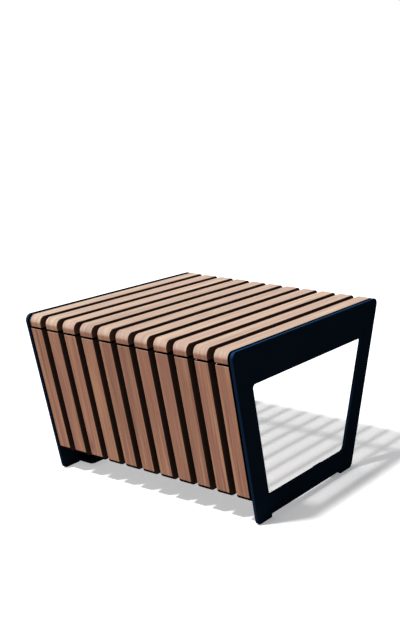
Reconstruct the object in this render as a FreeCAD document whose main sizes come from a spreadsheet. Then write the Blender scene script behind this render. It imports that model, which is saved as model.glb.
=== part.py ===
import FreeCAD, Part
import os
import Sketcher
from FreeCAD import Rotation, Vector

# A slatted outdoor stool: two cut steel side plates with rails between them, and timber slats over the top
# and down the front. Millimetres, +Z up, and the origin is on the floor under the middle of the stool.
# X runs from plate to plate. Y runs along the top slats: the slatted front is at -Y, the open back at +Y.

doc = FreeCAD.newDocument("slatted_stool")

# Driving sizes: alias, number, and what it measures.
SIZES = [
    ("seat_height", 450.0, "floor to the sitting face"),
    ("top_depth", 706.0, "front to back along the top, to the sharp corners before they are rounded"),
    ("lean_angle", 15.0, "degrees that the front and back edges lean in towards the floor"),
    ("plate_thickness", 8.0, "steel of a side plate"),
    ("plate_chamfer", 0.8, "broken edge of a side plate"),
    ("corner_radius", 16.0, "top corners of plates and slats, and outer corners of the feet"),
    ("leg_width", 61.0, "leg of a side plate, square to its leaning edge"),
    ("beam_height", 94.0, "upper beam of a side plate, above its window"),
    ("sill_height", 62.0, "floor to the lower edge of a side plate's window"),
    ("window_upper_radius", 8.0, "upper corners of the window"),
    ("window_lower_radius", 15.0, "lower corners of the window"),
    ("foot_raise", 9.0, "floor to the cut-back edge between the two feet of a plate"),
    ("foot_length", 62.5, "foot of a side plate along the floor, to its sharp outer corner"),
    ("foot_radius", 2.5, "corners where a foot ends under the plate"),
    ("slat_count", 11, "slats across the top, and as many down the front"),
    ("slat_width", 38.0, "timber slat across its face"),
    ("slat_gap", 18.9, "open joint between two slats"),
    ("end_gap", 4.5, "joint between the last slat and a side plate"),
    ("slat_thickness", 30.0, "timber slat through its depth"),
    ("slat_edge", 1.5, "broken edge of a slat"),
    ("front_joint", 5.0, "level joint between a top slat and the front slat below it"),
    ("front_drop", 62.0, "floor to the lower end of a front slat"),
    ("rail_thickness", 4.0, "steel of the angle rails"),
    ("seat_rail_leg", 30.0, "legs of the angle rails under the seat"),
    ("front_rail_leg", 25.0, "legs of the angle rails behind the front"),
    ("seat_rail_front_inset", 76.0, "front of the top, to its sharp corner, to the front seat rail's screws"),
    ("seat_rail_rear_inset", 160.0, "back of the top, to its sharp corner, to the rear seat rail's screws"),
    ("front_rail_inset", 48.0, "end of a front slat to the screw line of the rail near it, along the slat"),
    ("screw_diameter", 6.0, "shank of a coach screw"),
    ("screw_flats", 10.0, "hexagon head across its flats"),
    ("screw_head", 4.0, "height of the hexagon head"),
    ("screw_bite", 22.0, "length of the shank in the timber"),
    ("pilot_clearance", 0.1, "timber hole round the shank, on the radius"),
    ("pilot_runout", 2.0, "timber hole beyond the tip of the shank"),
    ("rail_hole_clearance", 0.4, "rail hole round the shank, on the radius"),
    ("lug_length", 58.0, "anchor lug out from the plate's inner face"),
    ("lug_width", 56.0, "anchor lug along the plate"),
    ("lug_thickness", 8.0, "steel of an anchor lug"),
    ("lug_radius", 11.0, "free corners of an anchor lug"),
    ("lug_inset", 77.0, "outer end of a foot to the middle of the lug behind it"),
    ("anchor_setback", 28.0, "free end of a lug to the middle of its anchor hole"),
    ("anchor_diameter", 14.0, "anchor hole for a ground bolt"),
]

sheet = doc.addObject("Spreadsheet::Sheet", "sizes")
for row, (alias, number, meaning) in enumerate(SIZES, start=1):
    sheet.set(f"A{row}", meaning)
    sheet.set(f"B{row}", str(number))
    sheet.setAlias(f"B{row}", alias)
doc.recompute()

# Lengths that several pieces share, each worked out from the driving sizes.
PITCH = "(sizes.slat_width + sizes.slat_gap)"
SLAT_SPAN = f"((sizes.slat_count - 1) * {PITCH})"
INNER_WIDTH = f"({SLAT_SPAN} + sizes.slat_width + 2 * sizes.end_gap)"
LEAN = "tan(sizes.lean_angle)"
LEAN_RISE = "cos(sizes.lean_angle)"
LEAN_RUN = "sin(sizes.lean_angle)"
TOP_HALF = "(sizes.top_depth / 2)"
FLOOR_HALF = f"({TOP_HALF} - sizes.seat_height * {LEAN})"
SEAT_RAIL_FRONT = f"(sizes.seat_rail_front_inset - {TOP_HALF})"
SEAT_RAIL_REAR = f"({TOP_HALF} - sizes.seat_rail_rear_inset)"
SLAT_SEAT = "(sizes.seat_height - sizes.slat_thickness)"
FRONT_LENGTH = f"(({SLAT_SEAT} - sizes.front_joint - sizes.front_drop) / {LEAN_RISE})"
FRONT_DROP_HALF = f"({FLOOR_HALF} + sizes.front_drop * {LEAN})"
SCREW_RADIUS = "(sizes.screw_diameter / 2)"
PILOT_RADIUS = f"({SCREW_RADIUS} + sizes.pilot_clearance)"
PILOT_DEPTH = "(sizes.screw_bite + sizes.pilot_runout)"
RAIL_HOLE_RADIUS = f"({SCREW_RADIUS} + sizes.rail_hole_clearance)"

# A screw's head is a hexagon. Its shank and the holes for it repeat often, so they are kept eight-sided.
HEAD_SIDES = 6
SHANK_SIDES = 8


def value(term):
    """The number that a term over the sheet gives now."""
    return float(sheet.evalExpression(term.replace("sizes.", "")))


def origin_feature(body, role):
    """One of a body's own origin planes or axes."""
    return next(feature for feature in body.Origin.OriginFeatures if feature.Role == role)


def new_sketch(body, name, role, lift=None):
    """An empty sketch on one of the body's origin planes, or lifted off it along the plane's normal."""
    sketch = body.newObject("Sketcher::SketchObject", name)
    sketch.AttachmentSupport = [(origin_feature(body, role), "")]
    sketch.MapMode = "FlatFace"
    if lift:
        sketch.setExpression("AttachmentOffset.Base.z", lift)
    return sketch


def pin_point(sketch, geometry, point, across, up):
    """Binds a point's two coordinates to terms over the sheet."""
    for kind, axis, term in (("DistanceX", -2, across), ("DistanceY", -1, up)):
        distance = value(term)
        if distance == 0:
            sketch.addConstraint(Sketcher.Constraint("PointOnObject", geometry, point, axis))
        else:
            index = sketch.addConstraint(Sketcher.Constraint(kind, -1, 1, geometry, point, distance))
            sketch.setExpression(f"Constraints[{index}]", term)


def outline(sketch, corners):
    """A closed outline of straight lines through corners given as pairs of terms."""
    points = [Vector(value(across), value(up), 0) for across, up in corners]
    following = points[1:] + points[:1]
    lines = [sketch.addGeometry(Part.LineSegment(start, end)) for start, end in zip(points, following)]
    for line, next_line in zip(lines, lines[1:] + lines[:1]):
        sketch.addConstraint(Sketcher.Constraint("Coincident", line, 2, next_line, 1))
    for line, (across, up) in zip(lines, corners):
        pin_point(sketch, line, 1, across, up)
    return sketch


def circle(sketch, across, up, radius):
    """A circle with its middle and its radius bound to terms."""
    middle = Vector(value(across), value(up), 0)
    index = sketch.addGeometry(Part.Circle(middle, Vector(0, 0, 1), value(radius)))
    pin_point(sketch, index, 3, across, up)
    size = sketch.addConstraint(Sketcher.Constraint("Radius", index, value(radius)))
    sketch.setExpression(f"Constraints[{size}]", radius)
    return sketch


def polygon(sketch, across, up, radius, sides):
    """A regular polygon with its flats square to the axes; the radius goes to its corners."""
    angles = [(index + 0.5) * 360 / sides for index in range(sides)]
    corners = [(f"{across} + {radius} * cos({angle})", f"{up} + {radius} * sin({angle})") for angle in angles]
    return outline(sketch, corners)


def pad(body, sketch, length, both_ways=False, backwards=False):
    """Raises a sketch into a solid."""
    feature = body.newObject("PartDesign::Pad", f"{sketch.Name}_pad")
    feature.Profile = sketch
    feature.SideType = "Symmetric" if both_ways else "One side"
    feature.Reversed = backwards
    feature.setExpression("Length", length)
    return feature


def pocket(body, sketch, length, both_ways=False, backwards=False):
    """Cuts a sketch out of the body, and makes sure that something was cut."""
    doc.recompute()
    before = body.Shape.Volume
    feature = body.newObject("PartDesign::Pocket", f"{sketch.Name}_cut")
    feature.Profile = sketch
    feature.SideType = "Symmetric" if both_ways else "One side"
    feature.Reversed = backwards
    feature.setExpression("Length", length)
    doc.recompute()
    if not feature.Shape.Volume < before:
        raise RuntimeError(f"{feature.Label} cuts nothing")
    return feature


def along_rail(body, features, name):
    """Repeats features along X, once for each slat."""
    feature = body.newObject("PartDesign::LinearPattern", name)
    feature.Originals = features
    feature.Direction = (origin_feature(body, "X_Axis"), [""])
    feature.setExpression("Length", SLAT_SPAN)
    feature.setExpression("Occurrences", "sizes.slat_count")
    body.Tip = feature
    return feature


def edge_names(feature, wanted):
    """The names of a feature's edges that pass a test."""
    return [f"Edge{index}" for index, edge in enumerate(feature.Shape.Edges, start=1) if wanted(edge)]


def dress(body, kind, base, wanted, sizing, term, name):
    """A fillet or chamfer on the edges of a feature that pass a test."""
    doc.recompute()
    feature = body.newObject(f"PartDesign::{kind}", name)
    feature.Base = (base, edge_names(base, wanted))
    feature.setExpression(sizing, term)
    doc.recompute()
    return feature


def crosswise(edge):
    """Whether an edge runs along X."""
    first, last = edge.Vertexes[0].Point, edge.Vertexes[-1].Point
    return abs(last.x - first.x) > abs(last.y - first.y) + abs(last.z - first.z)


def near(left, right, slack=0.01):
    """Whether two lengths are the same place on the part."""
    return abs(left - right) < slack


def round_corners(body, base, places, radius, name):
    """Fillets the crosswise edges that stand at given places, each a pair of terms for Y and Z."""
    spots = [(value(across), value(up)) for across, up in places]

    def at_a_spot(edge):
        middle = edge.CenterOfMass
        return crosswise(edge) and any(near(middle.y, y) and near(middle.z, z) for y, z in spots)

    return dress(body, "Fillet", base, at_a_spot, "Radius", radius, name)


def new_body(label, x_place=None, y_place=None, z_place=None, turn_axis=None, turn=None):
    """A body with its name and with its place bound to terms."""
    body = doc.addObject("PartDesign::Body", label)
    body.Label = label
    if turn:
        body.Placement.Rotation = Rotation(turn_axis, 1)
        body.setExpression("Placement.Rotation.Angle", turn)
    for axis, term in (("x", x_place), ("y", y_place), ("z", z_place)):
        if term:
            body.setExpression(f"Placement.Base.{axis}", term)
    return body


def mirrored_pair(across, up):
    """The same corner at the front and at the back."""
    return [(f"-{across}", up), (across, up)]


def side_plate(label, side):
    """A cut steel plate: leaning legs, deep upper beam, window, and two feet left by a shallow cut below."""
    body = new_body(label, x_place=f"{side} * ({INNER_WIDTH} + sizes.plate_thickness) / 2")
    slope_width = f"(sizes.leg_width / {LEAN_RISE})"
    window_top = "(sizes.seat_height - sizes.beam_height)"
    window_top_half = f"({FLOOR_HALF} + {window_top} * {LEAN} - {slope_width})"
    sill_half = f"({FLOOR_HALF} + sizes.sill_height * {LEAN} - {slope_width})"
    cut_half = f"({FLOOR_HALF} - sizes.foot_length)"
    cut_top_half = f"({cut_half} + sizes.foot_raise * {LEAN})"

    def four_corners(low_half, low, high_half, high):
        return [(f"-{low_half}", low), (low_half, low), (high_half, high), (f"-{high_half}", high)]

    rim = new_sketch(body, f"{label}_rim", "YZ_Plane")
    outline(rim, four_corners(FLOOR_HALF, "0", TOP_HALF, "sizes.seat_height"))
    pad(body, rim, "sizes.plate_thickness", both_ways=True)
    window = new_sketch(body, f"{label}_window", "YZ_Plane")
    outline(window, four_corners(sill_half, "sizes.sill_height", window_top_half, window_top))
    pocket(body, window, "2 * sizes.plate_thickness", both_ways=True)
    foot_cut = new_sketch(body, f"{label}_foot_cut", "YZ_Plane")
    outline(foot_cut, four_corners(cut_half, "0", cut_top_half, "sizes.foot_raise"))
    solid = pocket(body, foot_cut, "2 * sizes.plate_thickness", both_ways=True)
    rounds = [
        ("outer", mirrored_pair(TOP_HALF, "sizes.seat_height") + mirrored_pair(FLOOR_HALF, "0"),
         "sizes.corner_radius"),
        ("window_upper", mirrored_pair(window_top_half, window_top), "sizes.window_upper_radius"),
        ("window_lower", mirrored_pair(sill_half, "sizes.sill_height"), "sizes.window_lower_radius"),
        ("foot", mirrored_pair(cut_half, "0") + mirrored_pair(cut_top_half, "sizes.foot_raise"),
         "sizes.foot_radius"),
    ]
    for corner, places, radius in rounds:
        solid = round_corners(body, solid, places, radius, f"{label}_{corner}_rounds")
    dress(body, "Chamfer", solid, lambda edge: not crosswise(edge), "Size", "sizes.plate_chamfer",
          f"{label}_edge")
    return body


def slat_place(index):
    """The term for the middle of a slat across the stool."""
    return f"({index} * {PITCH} - {SLAT_SPAN} / 2)"


def break_slat_edges(body, base, label, heights):
    """Breaks the edges along both sides of a slat, and the crosswise edges at given heights."""
    def wanted(edge):
        return not crosswise(edge) or any(near(edge.CenterOfMass.z, value(height)) for height in heights)

    return dress(body, "Chamfer", base, wanted, "Size", "sizes.slat_edge", f"{label}_edges")


def top_slat(label, index):
    """A seat slat: ends cut along the leaning front and back, and rounded into the top like the plates."""
    body = new_body(label, x_place=slat_place(index))
    seat_half = f"({TOP_HALF} - sizes.slat_thickness * {LEAN})"
    side = new_sketch(body, f"{label}_side", "YZ_Plane")
    outline(side, [(f"-{seat_half}", SLAT_SEAT), (seat_half, SLAT_SEAT),
                   (TOP_HALF, "sizes.seat_height"), (f"-{TOP_HALF}", "sizes.seat_height")])
    solid = pad(body, side, "sizes.slat_width", both_ways=True)
    doc.recompute()
    ends = mirrored_pair(TOP_HALF, "sizes.seat_height")
    solid = round_corners(body, solid, ends, "sizes.corner_radius", f"{label}_ends")
    break_slat_edges(body, solid, label, [SLAT_SEAT])
    pilots = new_sketch(body, f"{label}_pilots", "XY_Plane", SLAT_SEAT)
    for across in (SEAT_RAIL_FRONT, SEAT_RAIL_REAR):
        polygon(pilots, "0", across, PILOT_RADIUS, SHANK_SIDES)
    pocket(body, pilots, PILOT_DEPTH, backwards=True)
    return body


def front_slat(label, index):
    """A front slat, drawn upright and leaned into place: level ends, the lower rounded like the plates."""
    body = new_body(label, slat_place(index), f"-{FRONT_DROP_HALF}", "sizes.front_drop",
                    Vector(1, 0, 0), "sizes.lean_angle")
    end_fall = f"(sizes.slat_thickness * {LEAN})"
    side = new_sketch(body, f"{label}_side", "YZ_Plane")
    outline(side, [("0", "0"), ("sizes.slat_thickness", f"-{end_fall}"),
                   ("sizes.slat_thickness", f"{FRONT_LENGTH} - {end_fall}"), ("0", FRONT_LENGTH)])
    solid = pad(body, side, "sizes.slat_width", both_ways=True)
    doc.recompute()
    solid = round_corners(body, solid, [("0", "0")], "sizes.corner_radius", f"{label}_toe")
    break_slat_edges(body, solid, label, [FRONT_LENGTH])
    pilots = new_sketch(body, f"{label}_pilots", "XZ_Plane", "-sizes.slat_thickness")
    for up in ("sizes.front_rail_inset", f"{FRONT_LENGTH} - sizes.front_rail_inset"):
        polygon(pilots, "0", up, PILOT_RADIUS, SHANK_SIDES)
    pocket(body, pilots, PILOT_DEPTH, backwards=True)
    return body


def angle_rail(label, leg, place):
    """A steel angle between the plates: one flange lies on the slats at z = 0, one hangs from its +Y edge."""
    body = new_body(label, **place)
    thickness = "sizes.rail_thickness"
    half = f"({leg} / 2)"
    profile = new_sketch(body, f"{label}_profile", "YZ_Plane")
    hanging_face = f"({half} - {thickness})"
    outline(profile, [(f"-{half}", "0"), (f"-{half}", f"-{thickness}"), (hanging_face, f"-{thickness}"),
                      (hanging_face, f"-{leg}"), (half, f"-{leg}"), (half, "0")])
    pad(body, profile, INNER_WIDTH, both_ways=True)
    hole = new_sketch(body, f"{label}_hole", "XY_Plane")
    polygon(hole, f"-{SLAT_SPAN} / 2", "0", RAIL_HOLE_RADIUS, SHANK_SIDES)
    first = pocket(body, hole, f"2 * {thickness}", both_ways=True)
    along_rail(body, [first], f"{label}_holes")
    return body


def coach_screws(label, place):
    """A row of hexagon-headed coach screws, one for each slat, driven through a rail's flange."""
    body = new_body(label, **place)
    body.AllowCompound = True
    under_rail = "-sizes.rail_thickness"
    first = f"-{SLAT_SPAN} / 2"
    head = new_sketch(body, f"{label}_head", "XY_Plane", under_rail)
    polygon(head, first, "0", "sizes.screw_flats / sqrt(3)", HEAD_SIDES)
    head_pad = pad(body, head, "sizes.screw_head", backwards=True)
    shank = new_sketch(body, f"{label}_shank", "XY_Plane", under_rail)
    polygon(shank, first, "0", SCREW_RADIUS, SHANK_SIDES)
    shank_pad = pad(body, shank, "sizes.rail_thickness + sizes.screw_bite")
    doc.recompute()
    along_rail(body, [head_pad, shank_pad], f"{label}_row")
    return body


def anchor_lug(label, side):
    """A flat lug with a ground bolt's hole, on a plate's inner face above the cut between the feet.

    The two plates are one part turned about, so the left lug is at the front and the right one at the back.
    """
    turn = "0" if side < 0 else "180"
    body = new_body(label, f"{side} * {INNER_WIDTH} / 2", f"{side} * ({FLOOR_HALF} - sizes.lug_inset)",
                    "sizes.foot_raise", Vector(0, 0, 1), turn)
    half = "(sizes.lug_width / 2)"
    tongue = new_sketch(body, f"{label}_tongue", "XY_Plane")
    reach = "sizes.lug_length"
    outline(tongue, [("0", f"-{half}"), (reach, f"-{half}"), (reach, half), ("0", half)])
    solid = pad(body, tongue, "sizes.lug_thickness")

    def free_corner(edge):
        middle = edge.CenterOfMass
        return near(middle.x, value(reach)) and near(middle.z, value("sizes.lug_thickness / 2"))

    dress(body, "Fillet", solid, free_corner, "Radius", "sizes.lug_radius", f"{label}_corners")
    hole = new_sketch(body, f"{label}_hole", "XY_Plane")
    circle(hole, f"{reach} - sizes.anchor_setback", "0", "sizes.anchor_diameter / 2")
    pocket(body, hole, "sizes.lug_thickness", backwards=True)
    return body


def seat_rail_place(depth):
    """Under the top slats at a depth from the middle, with the hanging flange to the back."""
    return {"y_place": depth, "z_place": SLAT_SEAT}


def front_rail_place(reach):
    """Against the backs of the front slats, at a reach along them from their lower ends."""
    depth = "sizes.slat_thickness"
    return {"y_place": f"-{FRONT_DROP_HALF} - {reach} * {LEAN_RUN} + {depth} * {LEAN_RISE}",
            "z_place": f"sizes.front_drop + {reach} * {LEAN_RISE} + {depth} * {LEAN_RUN}",
            "turn_axis": Vector(1, 0, 0), "turn": "90 + sizes.lean_angle"}


nodes = []
for label, side in (("left", -1), ("right", 1)):
    nodes.append(side_plate(f"{label}_side_plate", side))
    nodes.append(anchor_lug(f"{label}_anchor_lug", side))
for index in range(round(value("sizes.slat_count"))):
    nodes.append(top_slat(f"top_slat_{index + 1:02d}", index))
    nodes.append(front_slat(f"front_slat_{index + 1:02d}", index))
RAILS = [
    ("seat_rail_front", "sizes.seat_rail_leg", seat_rail_place(SEAT_RAIL_FRONT)),
    ("seat_rail_rear", "sizes.seat_rail_leg", seat_rail_place(SEAT_RAIL_REAR)),
    ("front_rail_upper", "sizes.front_rail_leg",
     front_rail_place(f"({FRONT_LENGTH} - sizes.front_rail_inset)")),
    ("front_rail_lower", "sizes.front_rail_leg", front_rail_place("sizes.front_rail_inset")),
]
for label, leg, place in RAILS:
    nodes.append(angle_rail(label, leg, place))
    nodes.append(coach_screws(f"{label}_screws", place))
doc.recompute()

for item in doc.Objects:
    if "Invalid" in item.State or "Error" in item.State:
        raise RuntimeError(f"{item.Label} did not build: {item.State}")
for node in nodes:
    if node.Shape.isNull() or not node.Shape.isValid():
        raise RuntimeError(f"{node.Label} is not a valid solid")

os.makedirs("parts", exist_ok=True)
for node in nodes:
    node.Shape.exportStep(os.path.join("parts", f"{node.Label}.step"))
    print(f"{node.Label}: {len(node.Shape.Solids)} solid(s), {node.Shape.Volume / 1000:.1f} cm3")
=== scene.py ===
import math

import bmesh
import bpy
from bpy.props import FloatProperty, FloatVectorProperty, IntProperty, PointerProperty
from mathutils import Euler, Matrix, Vector


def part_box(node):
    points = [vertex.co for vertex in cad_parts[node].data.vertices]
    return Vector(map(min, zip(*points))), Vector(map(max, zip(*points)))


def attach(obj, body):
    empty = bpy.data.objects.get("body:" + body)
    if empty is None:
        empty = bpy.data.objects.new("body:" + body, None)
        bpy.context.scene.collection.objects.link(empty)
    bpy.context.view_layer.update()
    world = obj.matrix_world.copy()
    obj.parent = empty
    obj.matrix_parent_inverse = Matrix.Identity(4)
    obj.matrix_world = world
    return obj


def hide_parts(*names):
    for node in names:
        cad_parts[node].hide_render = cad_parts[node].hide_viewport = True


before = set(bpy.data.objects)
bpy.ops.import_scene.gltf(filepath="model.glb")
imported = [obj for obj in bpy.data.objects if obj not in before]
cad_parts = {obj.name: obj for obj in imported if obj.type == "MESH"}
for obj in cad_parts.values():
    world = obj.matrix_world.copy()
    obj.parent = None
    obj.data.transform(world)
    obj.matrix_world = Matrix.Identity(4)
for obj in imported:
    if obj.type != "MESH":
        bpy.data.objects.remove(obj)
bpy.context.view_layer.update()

bl_info = {
    "name": "Slatted Stool",
    "version": (1, 0, 0),
    "blender": (4, 5, 0),
    "location": "View3D > Sidebar > Stool",
    "description": "Dresses the solids of a slatted timber and steel stool with rounded pieces and finishes",
    "category": "Object",
}

TOP_SLATS = sorted(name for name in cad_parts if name.startswith("top_slat_"))
FRONT_SLATS = sorted(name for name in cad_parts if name.startswith("front_slat_"))
PLATES = ("left_side_plate", "right_side_plate")
RAILS = ("seat_rail_front", "seat_rail_rear", "front_rail_upper", "front_rail_lower")
LUGS = (("left_anchor_lug", -1), ("right_anchor_lug", 1))
PLATE_LOW, PLATE_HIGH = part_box("right_side_plate")
SLAT_LOW, SLAT_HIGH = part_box(TOP_SLATS[0])
SEAT_HEIGHT = PLATE_HIGH.z
SLAT_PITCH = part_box(TOP_SLATS[1])[0].x - SLAT_LOW.x
SLAT_WIDTH = SLAT_HIGH.x - SLAT_LOW.x
SLAT_THICKNESS = SLAT_HIGH.z - SLAT_LOW.z
ALONG_X = Vector((1, 0, 0))
UPRIGHT = Vector((0, 0, 1))

# Fineness of the meshes
MERGE_DISTANCE = 0.000002
FLAT_ANGLE = math.radians(1)
SHARP_ANGLE = math.radians(40)
STEEL_EDGE_STEPS = 2
ANGLE_STEPS = 5
CROWN_STEPS = 3
HOLE_SIDES = 40
HEXAGON_SIDES = 6
SHANK_SIDES = 16
BEAD_SIDES = 10

# Roundings of a rolled angle: the outside and inside of its leg tips, its inner and its outer corner
ANGLE_TIP = 0.0004
ANGLE_TOE = 0.0018
ANGLE_ROOT = 0.0035
ANGLE_HEEL = 0.0008

# A slat's masks: the distances in metres from its edge or end between which each one rises or fades
WORN_AND_LIT_EDGE = (0.0024, 0.0004)
RIGHT_SIDE = (0.0016, 0.0010)
LEFT_SIDE = (0.0005, 0.0001)
JOINT_LOWER_END = (0.0006, 0.0002)
JOINT_UPPER_END = (0.0004, 0.0010)
JOINT_DEPTH = (0.05, 0.04)
JOINT_LEFT_EDGE = (0.0022, 0.0034)
SHADE_BY_LEFT_PLATE = (0.0022, 0.0085)
SHADE_BY_RIGHT_PLATE = (0.0022, 0.0006)
TOE_BAND = 0.001

# A screw's crown as a share of its head's height, and its shank's radii as shares of its diameter
CROWN_SHARE = 0.16
SHANK_TOP = 0.48
SHANK_TIP = 0.40

# A weld bead in its own radii: a ripple's length, its middle's distance from the faces that it joins,
# its narrow rings and its ends
BEAD_RIPPLE = 1.3
BEAD_OFFSET = 0.35
BEAD_NECK = 0.86
BEAD_END = 0.55
# How far the beads stop short of an angle's inner corner
BEAD_GAP = 0.004


class StoolForm(bpy.types.PropertyGroup):
    """Shared form of plates and slats"""
    lean: FloatProperty(
        name="Lean", description="Lean of the front and back edges towards the floor",
        default=math.radians(15), subtype="ANGLE")
    top_depth: FloatProperty(
        name="Top depth", description="Depth of the top before its corners are rounded",
        default=0.706, unit="LENGTH")
    corner_radius: FloatProperty(
        name="Corner radius",
        description="Rounding of the top corners, the feet's outer corners and the slats' toes",
        default=0.016, unit="LENGTH")
    arc_steps: IntProperty(
        name="Arc steps", description="Segments of one rounded corner", default=16)


class StoolTimber(bpy.types.PropertyGroup):
    """Edges and colours of the slats"""
    edge_radius: FloatProperty(
        name="Edge radius", description="Rounding of the slats' edges", default=0.0014, unit="LENGTH")
    edge_steps: IntProperty(
        name="Edge steps", description="Segments of a rounded slat edge", default=4)
    pale: FloatVectorProperty(
        name="Pale streak", description="Lightest tone of the grain",
        default=(0.420, 0.204, 0.115), subtype="COLOR")
    mid: FloatVectorProperty(
        name="Body tone", description="Middle tone of the grain",
        default=(0.323, 0.141, 0.0806), subtype="COLOR")
    dark: FloatVectorProperty(
        name="Dark streak", description="Darkest tone of the grain",
        default=(0.184, 0.0735, 0.0458), subtype="COLOR")
    rosy: FloatVectorProperty(
        name="Rosy streak", description="Pinker tone that runs through some boards",
        default=(0.288, 0.113, 0.0810), subtype="COLOR")
    knot: FloatVectorProperty(
        name="Knot", description="Tone of the small knots",
        default=(0.16, 0.07, 0.05), subtype="COLOR")
    # Painted highlight: the upward faces are painted paler, partly sun bleaching and partly the light that
    # falls on the seat from above; on the rounded ends the paling is softer, standing in for light that
    # already washes them out
    bleach_and_highlight: FloatVectorProperty(
        name="Sun bleach",
        description="How much paler the sun leaves the upward faces, as red, green and blue",
        default=(1.885, 2.98, 3.80))
    bend_bleach_and_highlight: FloatVectorProperty(
        name="Sun bleach on the bend",
        description="The same on the rounded ends, which are rubbed and oiled more",
        default=(1.645, 2.60, 3.45))
    # Painted shade: the slats' sides in the open joints are painted dark where little light reaches them
    seat_joint_shade: FloatVectorProperty(
        name="Seat joint sides", description="Tone of the seat slats' sides in the open joints",
        default=(0.094, 0.043, 0.031), subtype="COLOR")
    front_joint_shade: FloatVectorProperty(
        name="Front joint sides", description="Tone of the front slats' sides in the open joints",
        default=(0.040, 0.023, 0.018), subtype="COLOR")
    # Painted shade: the down-facing toes of the front slats are painted near black, and the same tone darkens
    # the level joint and the strips beside the plates
    toe: FloatVectorProperty(
        name="Toes", description="Tone of the sealed toes of the front slats, and of dirt in corners",
        default=(0.005, 0.003, 0.0025), subtype="COLOR")


class StoolSteel(bpy.types.PropertyGroup):
    """Sizes and colours of the plates, rails and lugs"""
    leg_width: FloatProperty(
        name="Leg width", description="Leg of a plate, square to its leaning edge",
        default=0.061, unit="LENGTH")
    beam_height: FloatProperty(
        name="Beam height", description="Plate above its window", default=0.094, unit="LENGTH")
    sill_height: FloatProperty(
        name="Sill height", description="Floor to the window", default=0.062, unit="LENGTH")
    window_upper_radius: FloatProperty(
        name="Upper window radius", description="Upper corners of the window", default=0.008, unit="LENGTH")
    window_lower_radius: FloatProperty(
        name="Lower window radius", description="Lower corners of the window", default=0.015, unit="LENGTH")
    foot_raise: FloatProperty(
        name="Foot raise", description="Height of the cut between the feet", default=0.009, unit="LENGTH")
    foot_length: FloatProperty(
        name="Foot length", description="Foot along the floor", default=0.0625, unit="LENGTH")
    foot_radius: FloatProperty(
        name="Foot radius", description="Corners of the cut between the feet",
        default=0.0025, unit="LENGTH")
    edge_radius: FloatProperty(
        name="Edge radius", description="Broken edge of plates and lugs", default=0.0008, unit="LENGTH")
    lug_radius: FloatProperty(
        name="Lug radius", description="Free corners of an anchor lug", default=0.011, unit="LENGTH")
    anchor_radius: FloatProperty(
        name="Anchor hole", description="Radius of a lug's hole", default=0.007, unit="LENGTH")
    anchor_setback: FloatProperty(
        name="Anchor setback", description="Free end of a lug to its hole", default=0.028, unit="LENGTH")
    rail_thickness: FloatProperty(
        name="Rail thickness", description="Steel of the angle rails", default=0.004, unit="LENGTH")
    seat_rail_leg: FloatProperty(
        name="Seat rail leg", description="Legs of the rails under the seat", default=0.030, unit="LENGTH")
    front_rail_leg: FloatProperty(
        name="Front rail leg", description="Legs of the rails behind the front",
        default=0.025, unit="LENGTH")
    front_rail_inset: FloatProperty(
        name="Front rail inset", description="End of a front slat to the screw line near it",
        default=0.048, unit="LENGTH")
    weld_radius: FloatProperty(
        name="Weld size", description="Radius of the weld beads", default=0.0026, unit="LENGTH")
    coat: FloatVectorProperty(
        name="Coat", description="Powder coat on the faces",
        default=(0.0030, 0.0066, 0.0116), subtype="COLOR")
    # Partly painted light: the cut edges are lighter and bluer, for a thinner coat there and for the light
    # that the edges catch
    coat_edge_and_light: FloatVectorProperty(
        name="Coat on edges", description="Powder coat on the cut edges",
        default=(0.0055, 0.0154, 0.0374), subtype="COLOR")
    # Painted highlight: the top edges are painted bright blue where the lamp catches them
    coat_top_highlight: FloatVectorProperty(
        name="Coat on top edges", description="Powder coat where hands rub the top edges",
        default=(0.010, 0.050, 0.135), subtype="COLOR")


class StoolScrews(bpy.types.PropertyGroup):
    """Sizes and colour of the coach screws"""
    flats: FloatProperty(
        name="Flats", description="Hexagon head across its flats", default=0.010, unit="LENGTH")
    head: FloatProperty(
        name="Head", description="Height of the head", default=0.004, unit="LENGTH")
    diameter: FloatProperty(
        name="Shank", description="Diameter of the shank", default=0.006, unit="LENGTH")
    bite: FloatProperty(
        name="Bite", description="Length of the shank in the timber", default=0.022, unit="LENGTH")
    zinc: FloatVectorProperty(
        name="Zinc", description="Plated steel", default=(0.50, 0.51, 0.52), subtype="COLOR")


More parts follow.
